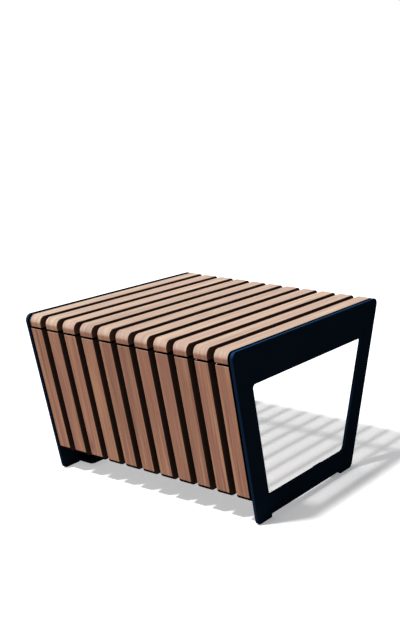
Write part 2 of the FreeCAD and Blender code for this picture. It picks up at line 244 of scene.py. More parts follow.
class StoolStage(bpy.types.PropertyGroup):
    """Floor, light and camera"""
    floor_size: FloatProperty(
        name="Floor size", description="Half the floor's side", default=40.0, unit="LENGTH")
    floor_tone: FloatProperty(
        name="Floor tone", description="How much of the light the floor throws back", default=0.76)
    floor_shown: FloatProperty(
        name="Floor shown", description="How much of the light the floor shows to the camera", default=1.0)
    floor_lift: FloatProperty(
        name="Floor lift", description="Even white that the floor adds to what is seen of it", default=0.415)
    floor_tilt: FloatProperty(
        name="Floor tilt", description="How much stronger that white is in front, and weaker behind",
        default=0.06)
    floor_shelter: FloatProperty(
        name="Floor shelter", description="Share of that white left close beside a plate", default=0.6)
    floor_tint: FloatVectorProperty(
        name="Floor tint", description="Tint of that white", default=(0.985, 1.0, 1.022),
        subtype="COLOR")
    key_strength: FloatProperty(
        name="Key", description="Strength of the main lamp", default=3.25)
    key_angle: FloatProperty(
        name="Key softness", description="Angle that the main lamp fills", default=math.radians(5.6),
        subtype="ANGLE")
    key_travel: FloatVectorProperty(
        name="Key travel", description="Direction in which the main light travels",
        default=(0.214, 0.52, -1.0))
    sky: FloatProperty(
        name="Sky", description="Soft light from all round", default=0.15)
    sky_lean: FloatProperty(
        name="Sky lean", description="How much brighter the soft light is from the front", default=0.6)
    lens: FloatProperty(
        name="Lens", description="Focal length in millimetres on the frame's long side", default=60.04)
    eye: FloatVectorProperty(
        name="Eye", description="Place of the camera", default=(1.5555, -2.1813, 1.0626),
        subtype="TRANSLATION")
    heading: FloatProperty(
        name="Heading", description="Camera turned left of straight ahead", default=math.radians(35.902),
        subtype="ANGLE")
    dip: FloatProperty(
        name="Dip", description="Camera tipped below the horizon", default=math.radians(13.396),
        subtype="ANGLE")


def form():
    """The shared form's settings."""
    return bpy.context.scene.stool_form


def timber():
    """The slats' settings."""
    return bpy.context.scene.stool_timber


def steel():
    """The settings of plates, rails and lugs."""
    return bpy.context.scene.stool_steel


# Meshes

def only(kind, items):
    """The items of one kind among an operator's results."""
    return [item for item in items if isinstance(item, kind)]


def rounded_wire(bm, corners, radii, axis, steps):
    """A closed wire through corners in one plane, each corner rounded by its own radius."""
    runs = []
    for index, (corner, radius) in enumerate(zip(corners, radii)):
        back = (corners[index - 1] - corner).normalized()
        ahead = (corners[(index + 1) % len(corners)] - corner).normalized()
        half = back.angle(ahead) / 2
        if not radius:
            vert = bm.verts.new(corner)
            runs.append((vert, vert))
            continue
        first = bm.verts.new(corner + back * radius / math.tan(half))
        centre = corner + (back + ahead).normalized() * radius / math.sin(half)
        side = 1 if axis.dot(ahead.cross(back)) > 0 else -1
        arc = bmesh.ops.spin(
            bm, geom=[first], cent=centre, axis=axis, angle=side * (math.pi - 2 * half), steps=steps,
            use_merge=False, use_normal_flip=False, use_duplicate=False)
        last, = only(bmesh.types.BMVert, arc["geom_last"])
        runs.append((first, last))
    for (_, tail), (head, _) in zip(runs, runs[1:] + runs[:1]):
        bm.edges.new((tail, head))


def filled_prism(bm, travel):
    """Fills the wires in the mesh, holes left open, and extrudes the sheet along travel."""
    sheet = bmesh.ops.triangle_fill(bm, edges=bm.edges[:], use_beauty=True, use_dissolve=False)
    raised = bmesh.ops.extrude_face_region(bm, geom=only(bmesh.types.BMFace, sheet["geom"]))
    bmesh.ops.translate(bm, verts=only(bmesh.types.BMVert, raised["geom"]), vec=travel)
    bmesh.ops.recalc_face_normals(bm, faces=bm.faces)
    bmesh.ops.dissolve_limit(
        bm, angle_limit=FLAT_ANGLE, verts=bm.verts[:], edges=bm.edges[:], use_dissolve_boundaries=False)


def cut_across(node, steps, *outlines):
    """A mesh as wide as a node, from outlines of (y, z, radius); an outline inside another is a hole."""
    low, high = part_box(node)
    bm = bmesh.new()
    for outline in outlines:
        corners = [Vector((low.x, y, z)) for y, z, _ in outline]
        rounded_wire(bm, corners, [radius for *_, radius in outline], ALONG_X, steps)
    filled_prism(bm, Vector((high.x - low.x, 0, 0)))
    return bm


def sharp_edges(bm):
    """The edges whose two faces meet sharply."""
    return [edge for edge in bm.edges if edge.calc_face_angle(0) > SHARP_ANGLE]


def soften(bm, edges, radius, steps):
    """Rounds a set of edges."""
    bmesh.ops.bevel(
        bm, geom=edges, offset=radius, offset_type="OFFSET", affect="EDGES", segments=steps, profile=0.5,
        material=-1, clamp_overlap=True, loop_slide=True)


def finish_piece(bm, name, material, slot, *nodes):
    """Turns a mesh into a piece that rides on the stool and stands for its solids."""
    bmesh.ops.remove_doubles(bm, verts=bm.verts, dist=MERGE_DISTANCE)
    bmesh.ops.recalc_face_normals(bm, faces=bm.faces)
    for face in bm.faces:
        face.smooth = True
    for edge in sharp_edges(bm):
        edge.smooth = False
    mesh = bpy.data.meshes.new(name)
    bm.to_mesh(mesh)
    bm.free()
    mesh.materials.append(material)
    piece = bpy.data.objects.new(name, mesh)
    bpy.context.scene.collection.objects.link(piece)
    even = piece.modifiers.new("Even shading", "WEIGHTED_NORMAL")
    even.keep_sharp = True
    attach(piece, "root")
    if nodes:
        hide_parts(*nodes)


def slat_piece(node, outline, name, material):
    """A slat with eased edges, from its outline."""
    bm = cut_across(node, form().arc_steps, outline)
    soften(bm, sharp_edges(bm), timber().edge_radius, timber().edge_steps)
    finish_piece(bm, name, material, "slat_timber", node)


def front_line(height):
    """How far the leaning front edge stands from the middle at a height."""
    return form().top_depth / 2 - (SEAT_HEIGHT - height) * math.tan(form().lean)


def rail_frame(rail):
    """Where a rail's screw line meets its slats: X along the rail, Z into the timber."""
    lean = form().lean
    if rail.startswith("seat_rail"):
        low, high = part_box(rail)
        return Matrix.Translation((0, (low.y + high.y) / 2, high.z))
    low, high = (corner.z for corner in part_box(FRONT_SLATS[0]))
    length = (high - low) / math.cos(lean)
    reach = length - steel().front_rail_inset if rail.endswith("upper") else steel().front_rail_inset
    upward = Vector((0, -math.sin(lean), math.cos(lean)))
    inward = Vector((0, math.cos(lean), math.sin(lean)))
    place = Vector((0, -front_line(low), low)) + upward * reach + inward * SLAT_THICKNESS
    return Matrix.Translation(place) @ Matrix.Rotation(math.pi / 2 + lean, 4, "X")


def rail_leg(rail):
    """The leg length of a rail's angle."""
    return steel().seat_rail_leg if rail.startswith("seat_rail") else steel().front_rail_leg


# Node materials

def add(tree, kind, inputs=None, **settings):
    """A node with its settings, and with values or links on its inputs."""
    node = tree.nodes.new(kind)
    for key, setting in settings.items():
        setattr(node, key, setting)
    for key, given in (inputs or {}).items():
        if isinstance(given, bpy.types.NodeSocket):
            tree.links.new(given, node.inputs[key])
        else:
            node.inputs[key].default_value = given
    return node


def maths(tree, operation, *terms, clamp=False):
    """The result of a sum on values."""
    node = add(tree, "ShaderNodeMath", dict(enumerate(terms)), operation=operation, use_clamp=clamp)
    return node.outputs[0]


def plus(tree, value, other, share):
    """A value with a share of another added."""
    return maths(tree, "ADD", value, maths(tree, "MULTIPLY", other, share))


def both(tree, one, other):
    """What two masks have in common."""
    return maths(tree, "MULTIPLY", one, other)


def either(tree, one, other):
    """What one mask or the other covers."""
    return maths(tree, "MAXIMUM", one, other)


def outside(tree, mask):
    """What a mask leaves over."""
    return maths(tree, "SUBTRACT", 1.0, mask)


def unsigned(tree, value):
    """A value without its sign."""
    return maths(tree, "ABSOLUTE", value)


def vectors(tree, operation, *terms):
    """The result of a sum on vectors."""
    return add(tree, "ShaderNodeVectorMath", dict(enumerate(terms)), operation=operation).outputs[0]


def scaled(tree, vector, factor):
    """A colour or vector times one value."""
    return add(tree, "ShaderNodeVectorMath", {0: vector, "Scale": factor}, operation="SCALE").outputs[0]


def parts(tree, vector):
    """The X, Y and Z of a vector."""
    return add(tree, "ShaderNodeSeparateXYZ", {0: vector}).outputs


def blend(tree, factor, under, over):
    """One colour laid over another."""
    node = add(tree, "ShaderNodeMix", {0: factor, 6: under, 7: over}, data_type="RGBA")
    return node.outputs[2]


def spread(tree, value, low, high, to_low=0.0, to_high=1.0, smooth=True):
    """A value moved from one range to another and kept there."""
    node = add(
        tree, "ShaderNodeMapRange",
        {"Value": value, "From Min": low, "From Max": high, "To Min": to_low, "To Max": to_high},
        interpolation_type="SMOOTHSTEP" if smooth else "LINEAR")
    return node.outputs[0]


def fade(tree, value, low, high):
    """A mask that is full below a range and gone above it."""
    return spread(tree, value, low, high, 1.0, 0.0)


def noise(tree, vector, scale, detail=2.0, roughness=0.5, result="Fac"):
    """A noise over a vector that is stretched by scale, as a value or as a colour."""
    stretched = vectors(tree, "MULTIPLY", vector, scale)
    return add(
        tree, "ShaderNodeTexNoise",
        {"Vector": stretched, "Scale": 1.0, "Detail": detail, "Roughness": roughness}).outputs[result]


def new_group(name, inputs, outputs):
    """An empty node group with named sockets."""
    tree = bpy.data.node_groups.new(name, "ShaderNodeTree")
    for label, kind in inputs:
        tree.interface.new_socket(label, in_out="INPUT", socket_type=f"NodeSocket{kind}")
    for label, kind in outputs:
        tree.interface.new_socket(label, in_out="OUTPUT", socket_type=f"NodeSocket{kind}")
    return tree, tree.nodes.new("NodeGroupInput").outputs, tree.nodes.new("NodeGroupOutput").inputs


def put_out(tree, result, **found):
    """Links what a node group found to its outputs."""
    for label, socket in found.items():
        tree.links.new(socket, result[label])
    return tree


def board_group():
    """Finds which slat a point is on: its place across it, number, paled edges, joint sides, painted shade in
    the level joint and beside the plates, and toe.
    """
    tree, given, result = new_group(
        "slat_place", [("Vector", "Vector")],
        [(label, "Float") for label in ("Across", "Number", "Edge", "Side", "Joint", "Toe")])
    across, depth, height = parts(tree, given["Vector"])
    number = maths(tree, "ROUND", maths(tree, "DIVIDE", across, SLAT_PITCH))
    local = maths(tree, "SUBTRACT", across, maths(tree, "MULTIPLY", number, SLAT_PITCH))
    half = SLAT_WIDTH / 2

    # Edges paled unevenly along the grain, by sanding wear and a painted highlight on their roundings
    ragged_by = 0.0012
    ragged = noise(tree, given["Vector"], (300, 60, 300), detail=3)
    reach = plus(tree, unsigned(tree, local), ragged, share=ragged_by)
    edge = spread(tree, reach, *(half - inset for inset in WORN_AND_LIT_EDGE))

    # Sides in the open joints, which on the seat begin a little further out
    joint_low, joint_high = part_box(FRONT_SLATS[0])[1].z, SLAT_LOW.z
    seat_shift = 0.0007
    on_seat = spread(tree, height, joint_low, joint_high)
    past_edge = maths(tree, "SUBTRACT", local, maths(tree, "MULTIPLY", on_seat, seat_shift))
    right_side = spread(tree, past_edge, *(half - inset for inset in RIGHT_SIDE))
    left_side = spread(tree, local, *(inset - half for inset in LEFT_SIDE))
    side = either(tree, left_side, right_side)

    # Painted shade in the level joint between seat and front, weaker at the slats' left edges
    front_face = -front_line(joint_low)
    above = spread(tree, height, *(joint_low - drop for drop in JOINT_LOWER_END))
    below = fade(tree, height, *(joint_high + rise for rise in JOINT_UPPER_END))
    over_front = spread(tree, depth, *(front_face + inset for inset in JOINT_DEPTH))
    under_slat = spread(tree, local, *(inset - half for inset in JOINT_LEFT_EDGE), to_low=0.7)
    joint = both(tree, both(tree, above, below), both(tree, over_front, under_slat))

    # Painted shade beside the plates, narrower on the front slats than on the seat
    first_edge, last_edge = SLAT_LOW.x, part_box(TOP_SLATS[-1])[1].x
    narrower = spread(tree, on_seat, 0.0, 1.0, to_low=2.2)
    from_first = maths(tree, "MULTIPLY", maths(tree, "SUBTRACT", across, first_edge), narrower)
    by_left_plate = fade(tree, from_first, *SHADE_BY_LEFT_PLATE)
    by_right_plate = spread(tree, across, *(last_edge - inset for inset in SHADE_BY_RIGHT_PLATE))
    joint = either(tree, joint, either(tree, by_left_plate, by_right_plate))

    toe_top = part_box(FRONT_SLATS[0])[0].z + form().corner_radius
    toe = fade(tree, height, toe_top - TOE_BAND, toe_top)
    return put_out(tree, result, Across=local, Number=number, Edge=edge, Side=side, Joint=joint, Toe=toe)


def grain_group():
    """Straight-grained timber along Y: soft streaks, fine fibres, pores and a few small knots."""
    colours = [(label, "Color") for label in ("Pale", "Body", "Dark", "Rosy", "Knot")]
    tree, given, result = new_group(
        "timber_grain", [("Vector", "Vector"), ("Board", "Float"), *colours],
        [("Color", "Color"), ("Roughness", "Float"), ("Height", "Float")])

    # Each board is cut from another place, and its grain sways a little
    luck = add(tree, "ShaderNodeTexWhiteNoise", {"W": given["Board"]}, noise_dimensions="1D").outputs
    shift = vectors(tree, "MULTIPLY", luck["Color"], (7.0, 9.0, 5.0))
    place = vectors(tree, "ADD", given["Vector"], shift)
    sway = noise(tree, place, (9.0, 2.6, 9.0), result="Color")
    swing = vectors(tree, "MULTIPLY", vectors(tree, "SUBTRACT", sway, (0.5, 0.5, 0.5)), (0.016, 0.0, 0.01))
    bent = vectors(tree, "ADD", place, swing)

    # From broad streaks to fine pores
    broad = noise(tree, bent, (95.0, 2.4, 16.0), detail=2.0, roughness=0.45)
    streak = noise(tree, bent, (310.0, 5.5, 40.0), detail=4.0, roughness=0.6)
    fibre = noise(tree, bent, (1500.0, 26.0, 260.0), detail=3.0, roughness=0.6)
    pore = spread(tree, noise(tree, bent, (2300.0, 75.0, 700.0), detail=1.0), 0.66, 0.76)
    blush = noise(tree, bent, (90.0, 3.0, 12.0), detail=3.0)
    rings = add(
        tree, "ShaderNodeTexWave",
        {"Vector": vectors(tree, "MULTIPLY", bent, (1.0, 0.05, 0.35)), "Scale": 30.0, "Distortion": 5.0,
         "Detail": 2.0, "Detail Scale": 1.2, "Detail Roughness": 0.55},
        wave_type="BANDS", bands_direction="X", wave_profile="SAW").outputs["Fac"]

    # One tone from all of them, and the colours along it
    tone = plus(tree, maths(tree, "MULTIPLY", broad, 0.50), streak, share=0.42)
    tone = plus(tree, tone, rings, share=0.08)
    tone = plus(tree, tone, maths(tree, "SUBTRACT", fibre, 0.5), share=0.18)
    lower = blend(tree, spread(tree, tone, 0.34, 0.48), given["Dark"], given["Body"])
    colour = blend(tree, spread(tree, tone, 0.49, 0.62), lower, given["Pale"])
    colour = blend(tree, spread(tree, blush, 0.48, 0.64, to_high=0.7), colour, given["Rosy"])
    colour = blend(tree, maths(tree, "MULTIPLY", pore, 0.22), colour, given["Dark"])
    lightness = spread(tree, luck["Value"], 0.0, 1.0, 0.92, 1.07, smooth=False)
    colour = scaled(tree, colour, lightness)

    # A few knots, each a dark core in a paler halo
    cells = add(
        tree, "ShaderNodeTexVoronoi",
        {"Vector": vectors(tree, "MULTIPLY", place, (26.0, 5.5, 20.0)), "Scale": 1.0, "Randomness": 1.0})
    chosen = spread(tree, parts(tree, cells.outputs["Color"])[0], 0.80, 0.82)
    core = fade(tree, cells.outputs["Distance"], 0.05, 0.13)
    halo = spread(tree, cells.outputs["Distance"], 0.10, 0.34, 0.4, 0.0)
    knot = maths(tree, "MULTIPLY", chosen, either(tree, core, halo), clamp=True)
    colour = blend(tree, maths(tree, "MULTIPLY", knot, 0.75), colour, given["Knot"])

    rough = plus(tree, spread(tree, tone, 0.3, 0.7, 0.62, 0.48, smooth=False), fibre, share=0.08)
    height = plus(tree, maths(tree, "MULTIPLY", fibre, 0.5), streak, share=0.5)
    height = maths(tree, "SUBTRACT", height, maths(tree, "MULTIPLY", pore, 0.6))
    return put_out(tree, result, Color=colour, Roughness=rough, Height=height)


def coat_group():
    """Powder coat: a fine even texture, slow drifts of tone and a few pale rubs."""
    tree, given, result = new_group(
        "powder_coat", [("Vector", "Vector"), ("Coat", "Color")],
        [("Color", "Color"), ("Roughness", "Float"), ("Height", "Float")])
    drift = noise(tree, given["Vector"], (5.0, 5.0, 5.0), detail=3.0)
    peel = noise(tree, given["Vector"], (420.0, 420.0, 420.0), detail=2.0)
    grit = noise(tree, given["Vector"], (1500.0, 1500.0, 1500.0), detail=1.0)
    scuff = noise(tree, given["Vector"], (38.0, 38.0, 90.0), detail=4.0, roughness=0.65)
    rub = spread(tree, scuff, 0.70, 0.80, to_high=0.35)
    slow = spread(tree, drift, 0.3, 0.7, 0.95, 1.05, smooth=False)
    tone = plus(tree, slow, maths(tree, "SUBTRACT", grit, 0.5), share=0.25)
    paler = vectors(tree, "MULTIPLY", given["Coat"], (1.7, 1.6, 1.5))
    colour = blend(tree, rub, scaled(tree, given["Coat"], tone), paler)
    rough = plus(tree, spread(tree, drift, 0.3, 0.7, 0.50, 0.60, smooth=False), rub, share=-0.25)
    return put_out(tree, result, Color=colour, Roughness=rough, Height=plus(tree, peel, grit, share=0.4))


def shared(name, make):
    """A node group that is built once."""
    return bpy.data.node_groups.get(name) or make()


def new_material(name):
    """A material with its shader and the piece's own coordinates."""
    material = bpy.data.materials.new(name)
    material.use_nodes = True
    tree = material.node_tree
    shader = tree.nodes["Principled BSDF"]
    own = tree.nodes.new("ShaderNodeTexCoord").outputs
    return material, tree, shader, own


def use_group(tree, group, inputs):
    """A node group's outputs, with values or links on its inputs."""
    return add(tree, "ShaderNodeGroup", inputs, node_tree=group).outputs


def raise_surface(tree, shader, height, strength, distance):
    """A bump under a shader."""
    bump = add(tree, "ShaderNodeBump", {"Height": height, "Strength": strength, "Distance": distance})
    tree.links.new(bump.outputs[0], shader.inputs["Normal"])


def opaque(colour):
    """A colour with the fourth value that colour sockets take."""
    return (*colour, 1.0)


def timber_material(name, lean, first_board, joint):
    """Oiled timber whose grain runs along the slats, which lean by an angle from level."""
    existing = bpy.data.materials.get(name)
    if existing:
        return existing
    material, tree, shader, own = new_material(name)
    tones = timber()
    board = use_group(tree, shared("slat_place", board_group), {"Vector": own["Object"]})
    turned = add(tree, "ShaderNodeMapping", {"Vector": own["Object"], "Rotation": (lean, 0.0, 0.0)})
    _, along, through = parts(tree, turned.outputs[0])
    grain = add(tree, "ShaderNodeCombineXYZ", {0: board["Across"], 1: along, 2: through}).outputs[0]
    wood = use_group(tree, shared("timber_grain", grain_group), {
        "Vector": grain, "Board": maths(tree, "ADD", board["Number"], first_board),
        "Pale": opaque(tones.pale), "Body": opaque(tones.mid), "Dark": opaque(tones.dark),
        "Rosy": opaque(tones.rosy), "Knot": opaque(tones.knot)})

    # Paler edges (sanding wear and a painted highlight on their roundings), and faces painted paler the more
    # they look up: partly sun bleaching, partly a painted sunlit highlight, softer on the bend
    paling_by, evened_by = 0.6, 0.30
    upward = parts(tree, own["Normal"])[2]
    lit_edges = maths(tree, "MULTIPLY", board["Edge"], paling_by)
    sanded_and_lit = blend(tree, lit_edges, wood["Color"], opaque(tones.pale))
    evened = blend(tree, evened_by, sanded_and_lit, opaque(tones.mid))
    on_bend = spread(tree, upward, 1.0, 0.88)
    bleach_and_highlight = blend(tree, on_bend, opaque(tones.bleach_and_highlight), opaque(tones.bend_bleach_and_highlight))
    facing_up = spread(tree, upward, -0.38, 0.26)
    weathered_and_lit = blend(tree, facing_up, sanded_and_lit, vectors(tree, "MULTIPLY", evened, bleach_and_highlight))

    # Painted shade: dark sides in the open joints, and darker still in the level joint, beside the plates and
    # on the down-facing toes
    turned_under = both(tree, board["Toe"], spread(tree, upward, -0.27, -0.33))
    deep_shade = either(tree, board["Joint"], turned_under)
    shaded = either(tree, board["Side"], deep_shade)
    shade_tone = blend(tree, deep_shade, opaque(joint), opaque(tones.toe))
    tree.links.new(blend(tree, shaded, weathered_and_lit, shade_tone), shader.inputs["Base Color"])
    tree.links.new(wood["Roughness"], shader.inputs["Roughness"])

    # A thin oil, polished most on the seat and missing in the joints
    polish = spread(tree, facing_up, 0.0, 1.0, 0.2, 0.55, smooth=False)
    tree.links.new(both(tree, polish, outside(tree, shaded)), shader.inputs["Coat Weight"])
    shader.inputs["Coat Roughness"].default_value = 0.42
    shader.inputs["Specular IOR Level"].default_value = 0.0
    raise_surface(tree, shader, wood["Height"], strength=0.25, distance=0.0006)
    return material


def plate_colour(tree, own):
    """The coat of plates and lugs: paler near the floor (dusting and painted fill light), lighter and bluer
    on cut edges (partly painted light) and with a painted highlight on the top ones.
    """
    coat = opaque(steel().coat)
    sideways, _, upward = parts(tree, own["Normal"])
    across, _, height = parts(tree, own["Object"])
    outward = unsigned(tree, across)
    inner_face = PLATE_LOW.x
    cut = fade(tree, unsigned(tree, sideways), 0.55, 0.9)
    level = spread(tree, upward, 0.0, 0.9)
    flat_top = spread(tree, upward, 0.93, 0.995)
    # A painted highlight on the right plate's top, and of the left plate's only on its bends
    highlit = either(tree, spread(tree, across, -0.1, 0.1), outside(tree, flat_top))
    lit_edges = both(tree, both(tree, level, spread(tree, height, 0.3, 0.4)), highlit)
    edges = blend(tree, lit_edges, opaque(steel().coat_edge_and_light), opaque(steel().coat_top_highlight))
    # The lugs' rims keep the face colour, and so does the plates' top beside the slats, where the painted
    # highlight stops
    on_lug = fade(tree, outward, inner_face - 0.006, inner_face - 0.002)
    edges = blend(tree, both(tree, on_lug, outside(tree, level)), edges, coat)
    by_slat = fade(tree, outward, inner_face + 0.0016, inner_face + 0.0036)
    edges = blend(tree, both(tree, by_slat, flat_top), edges, coat)
    # Paler towards the floor: dusting, and painted fill light from the floor
    dust_and_fill = spread(tree, height, 0.01, 0.085, 1.45, 1.0)
    return blend(tree, cut, scaled(tree, steel().coat, dust_and_fill), edges)


def coat_material(name, cut_edges):
    """Navy powder coat, with a plate's paler foot, lighter cut edges and painted top highlight where asked.
    """
    existing = bpy.data.materials.get(name)
    if existing:
        return existing
    material, tree, shader, own = new_material(name)
    colour = plate_colour(tree, own) if cut_edges else opaque(steel().coat)
    coat = use_group(tree, shared("powder_coat", coat_group), {"Vector": own["Object"], "Coat": colour})
    tree.links.new(coat["Color"], shader.inputs["Base Color"])
    tree.links.new(coat["Roughness"], shader.inputs["Roughness"])
    shader.inputs["Specular IOR Level"].default_value = 0.0
    raise_surface(tree, shader, coat["Height"], strength=0.12, distance=0.0003)
    return material


def zinc_material():
    """Plated steel of the screws, with a dull uneven bloom."""
    existing = bpy.data.materials.get("zinc_plate")
    if existing:
        return existing
    material, tree, shader, own = new_material("zinc_plate")
    bloom = noise(tree, own["Object"], (260.0, 260.0, 260.0), detail=4.0, roughness=0.6)
    brushed = noise(tree, own["Object"], (2600.0, 500.0, 2600.0), detail=2.0)
    zinc = bpy.context.scene.stool_screws.zinc
    dulled_to = 0.62
    dull = tuple(part * dulled_to for part in zinc)
    colour = blend(tree, spread(tree, bloom, 0.35, 0.65), opaque(dull), opaque(zinc))
    tree.links.new(colour, shader.inputs["Base Color"])
    tree.links.new(spread(tree, bloom, 0.3, 0.7, 0.55, 0.34), shader.inputs["Roughness"])
    shader.inputs["Metallic"].default_value = 1.0
    raise_surface(tree, shader, brushed, strength=0.15, distance=0.0002)
    return material


# Operators

class STOOL_OT_top_slats(bpy.types.Operator):
    """Make the seat slats with ends rounded into the top"""
    bl_idname = "stool.top_slats"
    bl_label = "Top slats"

    def execute(self, context):
        material = timber_material(
            "slat_timber_level", lean=0.0, first_board=40.0, joint=timber().seat_joint_shade)
        half, nose = form().top_depth / 2, form().corner_radius
        for node in TOP_SLATS:
            low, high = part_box(node)
            seat_half = half - (high.z - low.z) * math.tan(form().lean)
            outline = [(-seat_half, low.z, 0), (seat_half, low.z, 0),
                       (half, high.z, nose), (-half, high.z, nose)]
            slat_piece(node, outline, node.replace("top_slat", "seat_board"), material)
        return {"FINISHED"}


class STOOL_OT_front_slats(bpy.types.Operator):
    """Make the leaning front slats with level ends"""
    bl_idname = "stool.front_slats"
    bl_label = "Front slats"

    def execute(self, context):
        lean, toe = form().lean, form().corner_radius
        material = timber_material(
            "slat_timber_leaning", lean=math.pi / 2 - lean, first_board=80.0, joint=timber().front_joint_shade)
        depth = SLAT_THICKNESS / math.cos(lean)
        for node in FRONT_SLATS:
            low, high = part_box(node)
            bottom, top = -front_line(low.z), -front_line(high.z)
            outline = [(bottom, low.z, toe), (bottom + depth, low.z, 0),
                       (top + depth, high.z, 0), (top, high.z, 0)]
            slat_piece(node, outline, node.replace("front_slat", "front_board"), material)
        return {"FINISHED"}


class STOOL_OT_side_plates(bpy.types.Operator):
    """Make the two cut side plates with their windows and feet"""
    bl_idname = "stool.side_plates"
    bl_label = "Side plates"

    def execute(self, context):
        given, corner = steel(), form().corner_radius
        slope_width = given.leg_width / math.cos(form().lean)
        cut_half = front_line(0) - given.foot_length
        cut_slant = given.foot_raise * math.tan(form().lean)
        window_top = SEAT_HEIGHT - given.beam_height
        rim = [(cut_half + cut_slant, given.foot_raise, given.foot_radius),
               (cut_half, 0, given.foot_radius),
               (front_line(0), 0, corner),
               (form().top_depth / 2, SEAT_HEIGHT, corner)]
        window = [(front_line(given.sill_height) - slope_width, given.sill_height, given.window_lower_radius),
                  (front_line(window_top) - slope_width, window_top, given.window_upper_radius)]
        outlines = [half + [(-y, z, radius) for y, z, radius in reversed(half)] for half in (rim, window)]
        material = coat_material("plate_coat", cut_edges=True)
        for node in PLATES:
            bm = cut_across(node, form().arc_steps, *outlines)
            soften(bm, sharp_edges(bm), given.edge_radius, STEEL_EDGE_STEPS)
            finish_piece(bm, node.replace("side_plate", "coated_plate"), material, "frame_paint", node)
        return {"FINISHED"}


class STOOL_OT_angle_rails(bpy.types.Operator):
    """Make the rolled angle rails with their round inner corners"""
    bl_idname = "stool.angle_rails"
    bl_label = "Angle rails"

    def execute(self, context):
        thick = steel().rail_thickness
        material = coat_material("rail_coat", cut_edges=False)
        for rail in RAILS:
            leg = rail_leg(rail)
            half = leg / 2
            outline = [(-half, 0, ANGLE_TIP), (-half, -thick, ANGLE_TOE), (half - thick, -thick, ANGLE_ROOT),
                       (half - thick, -leg, ANGLE_TOE), (half, -leg, ANGLE_TIP), (half, 0, ANGLE_HEEL)]
            bm = cut_across(rail, ANGLE_STEPS, outline)
            bmesh.ops.transform(bm, matrix=rail_frame(rail), verts=bm.verts)
            finish_piece(bm, f"rolled_{rail}", material, "frame_paint", rail)
        return {"FINISHED"}


class STOOL_OT_anchor_lugs(bpy.types.Operator):
    """Make the two anchor lugs with their holes"""
    bl_idname = "stool.anchor_lugs"
    bl_label = "Anchor lugs"

    def execute(self, context):
        given = steel()
        material = coat_material("plate_coat", cut_edges=True)
        for node, side in LUGS:
            low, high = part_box(node)
            root, free = (low.x, high.x) if side < 0 else (high.x, low.x)
            corners = [Vector((x, y, low.z)) for x, y in (
                (root, low.y), (free, low.y), (free, high.y), (root, high.y))]
            bm = bmesh.new()
            rounded_wire(bm, corners, (0, given.lug_radius, given.lug_radius, 0), UPRIGHT, form().arc_steps)
            middle = Vector((free + side * given.anchor_setback, (low.y + high.y) / 2, low.z))
            bmesh.ops.create_circle(
                bm, segments=HOLE_SIDES, radius=given.anchor_radius, matrix=Matrix.Translation(middle))
            filled_prism(bm, Vector((0, 0, high.z - low.z)))
            soften(bm, sharp_edges(bm), given.edge_radius, STEEL_EDGE_STEPS)
            finish_piece(bm, f"coated_{node}", material, "frame_paint", node)
        return {"FINISHED"}


class STOOL_OT_coach_screws(bpy.types.Operator):
    """Make the rows of hexagon-headed coach screws"""
    bl_idname = "stool.coach_screws"
    bl_label = "Coach screws"

    def screw(self, bm, across, given):
        """One screw, up through a rail whose upper face is at height zero."""
        under_rail = -steel().rail_thickness
        mid_head = under_rail - given.head / 2
        corner_radius = given.flats / math.sqrt(3)
        head = bmesh.ops.create_cone(
            bm, cap_ends=True, segments=HEXAGON_SIDES, radius1=corner_radius, radius2=corner_radius,
            depth=given.head, matrix=Matrix.Translation((across, 0, mid_head)))
        crown = {edge for vert in head["verts"] for edge in vert.link_edges
                 if all(end.co.z < mid_head for end in edge.verts)}
        soften(bm, list(crown), given.head * CROWN_SHARE, CROWN_STEPS)
        length = steel().rail_thickness + given.bite
        bmesh.ops.create_cone(
            bm, cap_ends=True, segments=SHANK_SIDES, radius1=given.diameter * SHANK_TOP,
            radius2=given.diameter * SHANK_TIP, depth=length,
            matrix=Matrix.Translation((across, 0, under_rail + length / 2)))

    def execute(self, context):
        material = zinc_material()
        for rail in RAILS:
            bm = bmesh.new()
            for node in TOP_SLATS:
                across = sum(corner.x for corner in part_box(node)) / 2
                self.screw(bm, across, context.scene.stool_screws)
            bmesh.ops.transform(bm, matrix=rail_frame(rail), verts=bm.verts)
            finish_piece(bm, f"zinc_{rail}_screws", material, "screw_steel", f"{rail}_screws")
        return {"FINISHED"}


